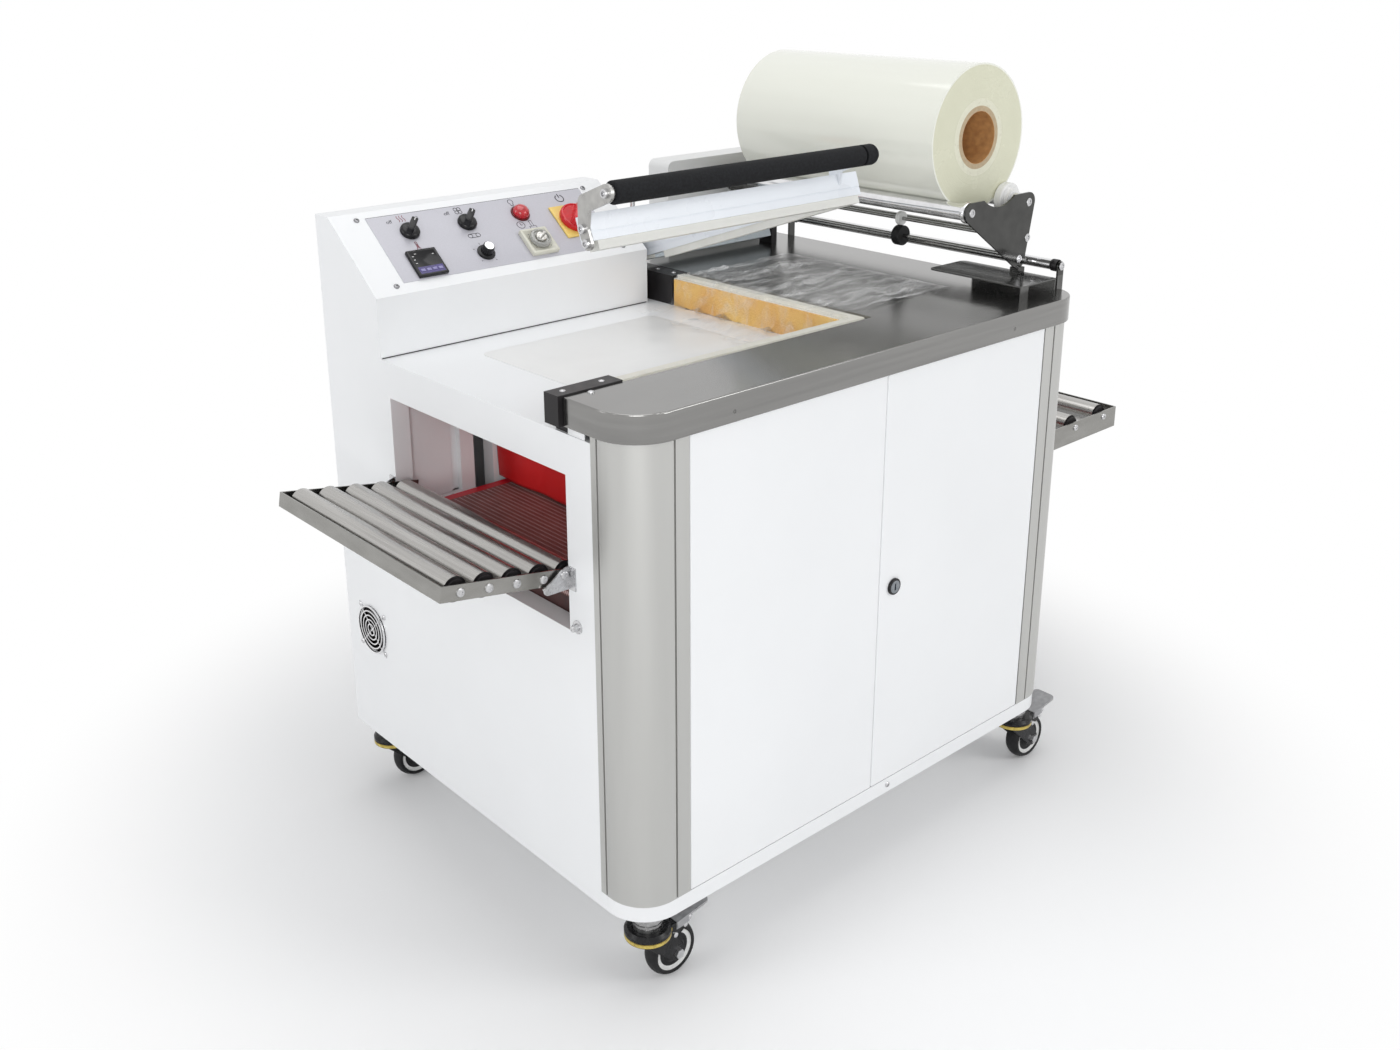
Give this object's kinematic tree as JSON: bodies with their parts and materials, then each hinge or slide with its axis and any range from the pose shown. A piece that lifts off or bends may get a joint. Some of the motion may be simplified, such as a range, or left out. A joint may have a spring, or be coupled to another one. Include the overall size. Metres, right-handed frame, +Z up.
{
  "type": "shrink wrapping machine",
  "caption": "Manual film packing machine: L-shaped heat-seal arm and film roll on top of a wheeled cabinet with a hot-air shrink tunnel, belt conveyor, roller trays, doors and control panel",
  "frame": {"origin": "centre of the flat underside of the base plate, between the casters", "axes": "+X along the doors towards the film roll and the infeed tray, +Y from the doors to the back, +Z up"},
  "size_m": [1.392, 0.705, 1.1263],
  "materials": {
    "white_paint": "satin",
    "column_aluminium": "satin anodised",
    "stainless": "brushed",
    "seal_bar": "white coated with cream silicone on top",
    "black_plastic": "matt",
    "arm_aluminium": "white coated",
    "grip_foam": "foam",
    "panel_overlay": "smooth",
    "black_knob": "gloss",
    "red_knob": "gloss",
    "clear_plastic": "clear",
    "cover_paint": "satin",
    "lock_metal": "polished",
    "hood_steel": "bare",
    "curtain_silicone": "smooth",
    "belt_mesh": "coated mesh",
    "frame_steel": "zinc plated",
    "drum_metal": "turned",
    "roller_metal": "satin",
    "fan_plastic": "matt",
    "fan_metal": "plated",
    "caster_plate": "yellow passivated",
    "caster_black": "gloss",
    "wheel_rubber": "matt",
    "chrome_roller": "polished",
    "white_nylon": "smooth",
    "wheel_black": "matt",
    "roll_film": "wound clear film",
    "clear_film": "clear",
    "hinge_steel": "plain"
  },
  "bodies": {
    "cabinet": {"arm_bearings": "black_plastic", "base_plate": "white_paint", "blower_unit": "frame_steel", "cabinet_shell": "white_paint", "caster_mounts": "caster_plate", "control_box": "white_paint", "conveyor_belt": "belt_mesh", "conveyor_frame": "frame_steel", "corner_columns": "column_aluminium", "curtains": "curtain_silicone", "fan_housing": "fan_metal", "film_cradle": "stainless", "hinge_hardware": "hinge_steel", "loose_film": "clear_film", "lower_seal_bars": "seal_bar", "panel_fittings": "panel_overlay", "rear_cover": "cover_paint", "seal_end_blocks": "black_plastic", "tunnel_hood": "hood_steel", "worktop": "stainless"},
    "caster_1": {"caster_fork_1": "caster_black"},
    "wheel_1": {"caster_wheel_1": "wheel_rubber"},
    "caster_2": {"caster_fork_2": "caster_black"},
    "wheel_2": {"caster_wheel_2": "wheel_rubber"},
    "caster_3": {"caster_fork_3": "caster_black"},
    "wheel_3": {"caster_wheel_3": "wheel_rubber"},
    "caster_4": {"caster_fork_4": "caster_black"},
    "wheel_4": {"caster_wheel_4": "wheel_rubber"},
    "exit_tray": {"exit_tray": "stainless"},
    "exit_roller_1": {"exit_roller_1": "roller_metal"},
    "exit_roller_2": {"exit_roller_2": "roller_metal"},
    "exit_roller_3": {"exit_roller_3": "roller_metal"},
    "exit_roller_4": {"exit_roller_4": "roller_metal"},
    "exit_roller_5": {"exit_roller_5": "roller_metal"},
    "infeed_tray": {"infeed_tray": "stainless"},
    "infeed_roller_1": {"infeed_roller_1": "roller_metal"},
    "infeed_roller_2": {"infeed_roller_2": "roller_metal"},
    "infeed_roller_3": {"infeed_roller_3": "roller_metal"},
    "infeed_roller_4": {"infeed_roller_4": "roller_metal"},
    "door_left": {"door_left": "white_paint"},
    "door_right": {"door_right": "white_paint"},
    "door_lock": {"door_lock": "lock_metal"},
    "seal_arm": {"seal_arm": "arm_aluminium", "arm_handle": "grip_foam"},
    "film_roll": {"film_roll": "roll_film"},
    "cradle_left": {"cradle_roller_left": "chrome_roller"},
    "cradle_right": {"cradle_roller_right": "chrome_roller", "end_discs": "white_nylon"},
    "guide_roller": {"lower_roller": "chrome_roller"},
    "rubber_wheel": {"perforator_wheel": "wheel_black"},
    "pin_wheel": {"needle_wheel": "white_nylon"},
    "heater_switch": {"heater_switch": "black_knob"},
    "blower_switch": {"blower_switch": "black_knob"},
    "speed_knob": {"speed_knob": "black_knob"},
    "timer_dial": {"timer_dial": "clear_plastic"},
    "main_switch": {"main_switch": "red_knob"},
    "drive_drum": {"drive_drum": "drum_metal"},
    "idler_drum": {"idler_drum": "drum_metal"},
    "fan": {"fan_rotor": "fan_plastic"},
    "fan_wheel": {"impeller": "fan_metal"}
  },
  "joints": [
    {"name": "caster_swivel_1", "type": "hinge", "parent": "cabinet", "child": "caster_1", "pos_m": [-0.393, -0.316, -0.03], "axis": [0, 0, 1], "continuous": true},
    {"name": "caster_spin_1", "type": "hinge", "parent": "caster_1", "child": "wheel_1", "pos_m": [-0.356, -0.316, -0.0785], "axis": [0, 1, 0], "continuous": true},
    {"name": "caster_swivel_2", "type": "hinge", "parent": "cabinet", "child": "caster_2", "pos_m": [0.393, -0.316, -0.03], "axis": [0, 0, 1], "continuous": true},
    {"name": "caster_spin_2", "type": "hinge", "parent": "caster_2", "child": "wheel_2", "pos_m": [0.43, -0.316, -0.0785], "axis": [0, 1, 0], "continuous": true},
    {"name": "caster_swivel_3", "type": "hinge", "parent": "cabinet", "child": "caster_3", "pos_m": [0.393, 0.316, -0.03], "axis": [0, 0, 1], "continuous": true},
    {"name": "caster_spin_3", "type": "hinge", "parent": "caster_3", "child": "wheel_3", "pos_m": [0.43, 0.316, -0.0785], "axis": [0, 1, 0], "continuous": true},
    {"name": "caster_swivel_4", "type": "hinge", "parent": "cabinet", "child": "caster_4", "pos_m": [-0.393, 0.316, -0.03], "axis": [0, 0, 1], "continuous": true},
    {"name": "caster_spin_4", "type": "hinge", "parent": "caster_4", "child": "wheel_4", "pos_m": [-0.356, 0.316, -0.0785], "axis": [0, 1, 0], "continuous": true},
    {"name": "exit_tray_fold", "type": "hinge", "parent": "cabinet", "child": "exit_tray", "pos_m": [-0.443, -0.026, 0.454], "axis": [0, 1, 0], "range_deg": [0, 75]},
    {"name": "exit_roller_spin_1", "type": "hinge", "parent": "exit_tray", "child": "exit_roller_1", "pos_m": [-0.43089, -0.026, 0.4478], "axis": [0, 1, 0], "continuous": true},
    {"name": "exit_roller_spin_2", "type": "hinge", "parent": "exit_tray", "child": "exit_roller_2", "pos_m": [-0.46989, -0.026, 0.45468], "axis": [0, 1, 0], "continuous": true},
    {"name": "exit_roller_spin_3", "type": "hinge", "parent": "exit_tray", "child": "exit_roller_3", "pos_m": [-0.50889, -0.026, 0.46156], "axis": [0, 1, 0], "continuous": true},
    {"name": "exit_roller_spin_4", "type": "hinge", "parent": "exit_tray", "child": "exit_roller_4", "pos_m": [-0.54789, -0.026, 0.46843], "axis": [0, 1, 0], "continuous": true},
    {"name": "exit_roller_spin_5", "type": "hinge", "parent": "exit_tray", "child": "exit_roller_5", "pos_m": [-0.58689, -0.026, 0.47531], "axis": [0, 1, 0], "continuous": true},
    {"name": "infeed_tray_fold", "type": "hinge", "parent": "cabinet", "child": "infeed_tray", "pos_m": [0.443, -0.026, 0.388], "axis": [0, -1, 0], "range_deg": [0, 60]},
    {"name": "infeed_roller_spin_1", "type": "hinge", "parent": "infeed_tray", "child": "infeed_roller_1", "pos_m": [0.48403, -0.026, 0.38436], "axis": [0, 1, 0], "continuous": true},
    {"name": "infeed_roller_spin_2", "type": "hinge", "parent": "infeed_tray", "child": "infeed_roller_2", "pos_m": [0.56903, -0.026, 0.3851], "axis": [0, 1, 0], "continuous": true},
    {"name": "infeed_roller_spin_3", "type": "hinge", "parent": "infeed_tray", "child": "infeed_roller_3", "pos_m": [0.65403, -0.026, 0.38584], "axis": [0, 1, 0], "continuous": true},
    {"name": "infeed_roller_spin_4", "type": "hinge", "parent": "infeed_tray", "child": "infeed_roller_4", "pos_m": [0.73902, -0.026, 0.38658], "axis": [0, 1, 0], "continuous": true},
    {"name": "door_left_swing", "type": "hinge", "parent": "cabinet", "child": "door_left", "pos_m": [-0.3435, -0.346, 0.333], "axis": [0, 0, -1], "range_deg": [0, 100]},
    {"name": "door_right_swing", "type": "hinge", "parent": "cabinet", "child": "door_right", "pos_m": [0.3435, -0.346, 0.333], "axis": [0, 0, 1], "range_deg": [0, 100]},
    {"name": "door_lock_turn", "type": "hinge", "parent": "door_right", "child": "door_lock", "pos_m": [0.029, -0.341, 0.332], "axis": [0, -1, 0], "range_deg": [0, 90]},
    {"name": "arm_swing", "type": "hinge", "parent": "cabinet", "child": "seal_arm", "pos_m": [0.215, 0.24, 0.702], "axis": [1, 0, 0], "range_deg": [0, 19.2], "stiffness_Nm_per_rad": 8, "springref_deg": -91.67},
    {"name": "film_roll_spin", "type": "hinge", "parent": "cabinet", "child": "film_roll", "pos_m": [0.349, -0.01, 0.90332], "axis": [0, 1, 0], "continuous": true},
    {"name": "cradle_left_spin", "type": "hinge", "parent": "cabinet", "child": "cradle_left", "pos_m": [0.28, 0.002, 0.806], "axis": [0, 1, 0], "continuous": true},
    {"name": "cradle_right_spin", "type": "hinge", "parent": "cabinet", "child": "cradle_right", "pos_m": [0.418, 0.002, 0.806], "axis": [0, 1, 0], "continuous": true},
    {"name": "lower_roller_spin", "type": "hinge", "parent": "cabinet", "child": "guide_roller", "pos_m": [0.429, -0.036, 0.716], "axis": [0, 1, 0], "continuous": true},
    {"name": "perforator_spin", "type": "hinge", "parent": "cabinet", "child": "rubber_wheel", "pos_m": [0.376, -0.05, 0.732], "axis": [0, 1, 0], "continuous": true},
    {"name": "needle_spin", "type": "hinge", "parent": "cabinet", "child": "pin_wheel", "pos_m": [0.376, -0.05, 0.7593], "axis": [0, 1, 0], "continuous": true},
    {"name": "heater_switch_turn", "type": "hinge", "parent": "cabinet", "child": "heater_switch", "pos_m": [-0.3275, 0.27207, 0.78815], "axis": [0, 0.6211, -0.7837], "range_deg": [0, 90]},
    {"name": "blower_switch_turn", "type": "hinge", "parent": "cabinet", "child": "blower_switch", "pos_m": [-0.2295, 0.27207, 0.78815], "axis": [0, 0.6211, -0.7837], "range_deg": [0, 90]},
    {"name": "speed_knob_turn", "type": "hinge", "parent": "cabinet", "child": "speed_knob", "pos_m": [-0.2295, 0.22505, 0.75088], "axis": [0, 0.6211, -0.7837], "range_deg": [0, 300]},
    {"name": "timer_dial_turn", "type": "hinge", "parent": "cabinet", "child": "timer_dial", "pos_m": [-0.1335, 0.22662, 0.75212], "axis": [0, 0.6211, -0.7837], "range_deg": [0, 300]},
    {"name": "main_switch_turn", "type": "hinge", "parent": "cabinet", "child": "main_switch", "pos_m": [-0.0455, 0.25052, 0.77107], "axis": [0, 0.6211, -0.7837], "range_deg": [0, 90]},
    {"name": "drive_drum_spin", "type": "hinge", "parent": "cabinet", "child": "drive_drum", "pos_m": [0.365, -0.026, 0.38], "axis": [0, 1, 0], "continuous": true},
    {"name": "idler_drum_spin", "type": "hinge", "parent": "cabinet", "child": "idler_drum", "pos_m": [-0.365, -0.026, 0.38], "axis": [0, 1, 0], "continuous": true},
    {"name": "fan_spin", "type": "hinge", "parent": "cabinet", "child": "fan", "pos_m": [-0.42, 0.276, 0.187], "axis": [1, 0, 0], "continuous": true},
    {"name": "impeller_spin", "type": "hinge", "parent": "cabinet", "child": "fan_wheel", "pos_m": [0, 0.225, 0.479], "axis": [0, 1, 0], "continuous": true}
  ],
  "couplings": [
    {"joint": "cradle_left_spin", "follows": "film_roll_spin", "ratio": -8.9167},
    {"joint": "cradle_right_spin", "follows": "film_roll_spin", "ratio": -8.9167},
    {"joint": "needle_spin", "follows": "perforator_spin", "ratio": -1.4545},
    {"joint": "idler_drum_spin", "follows": "drive_drum_spin", "ratio": 1}
  ]
}
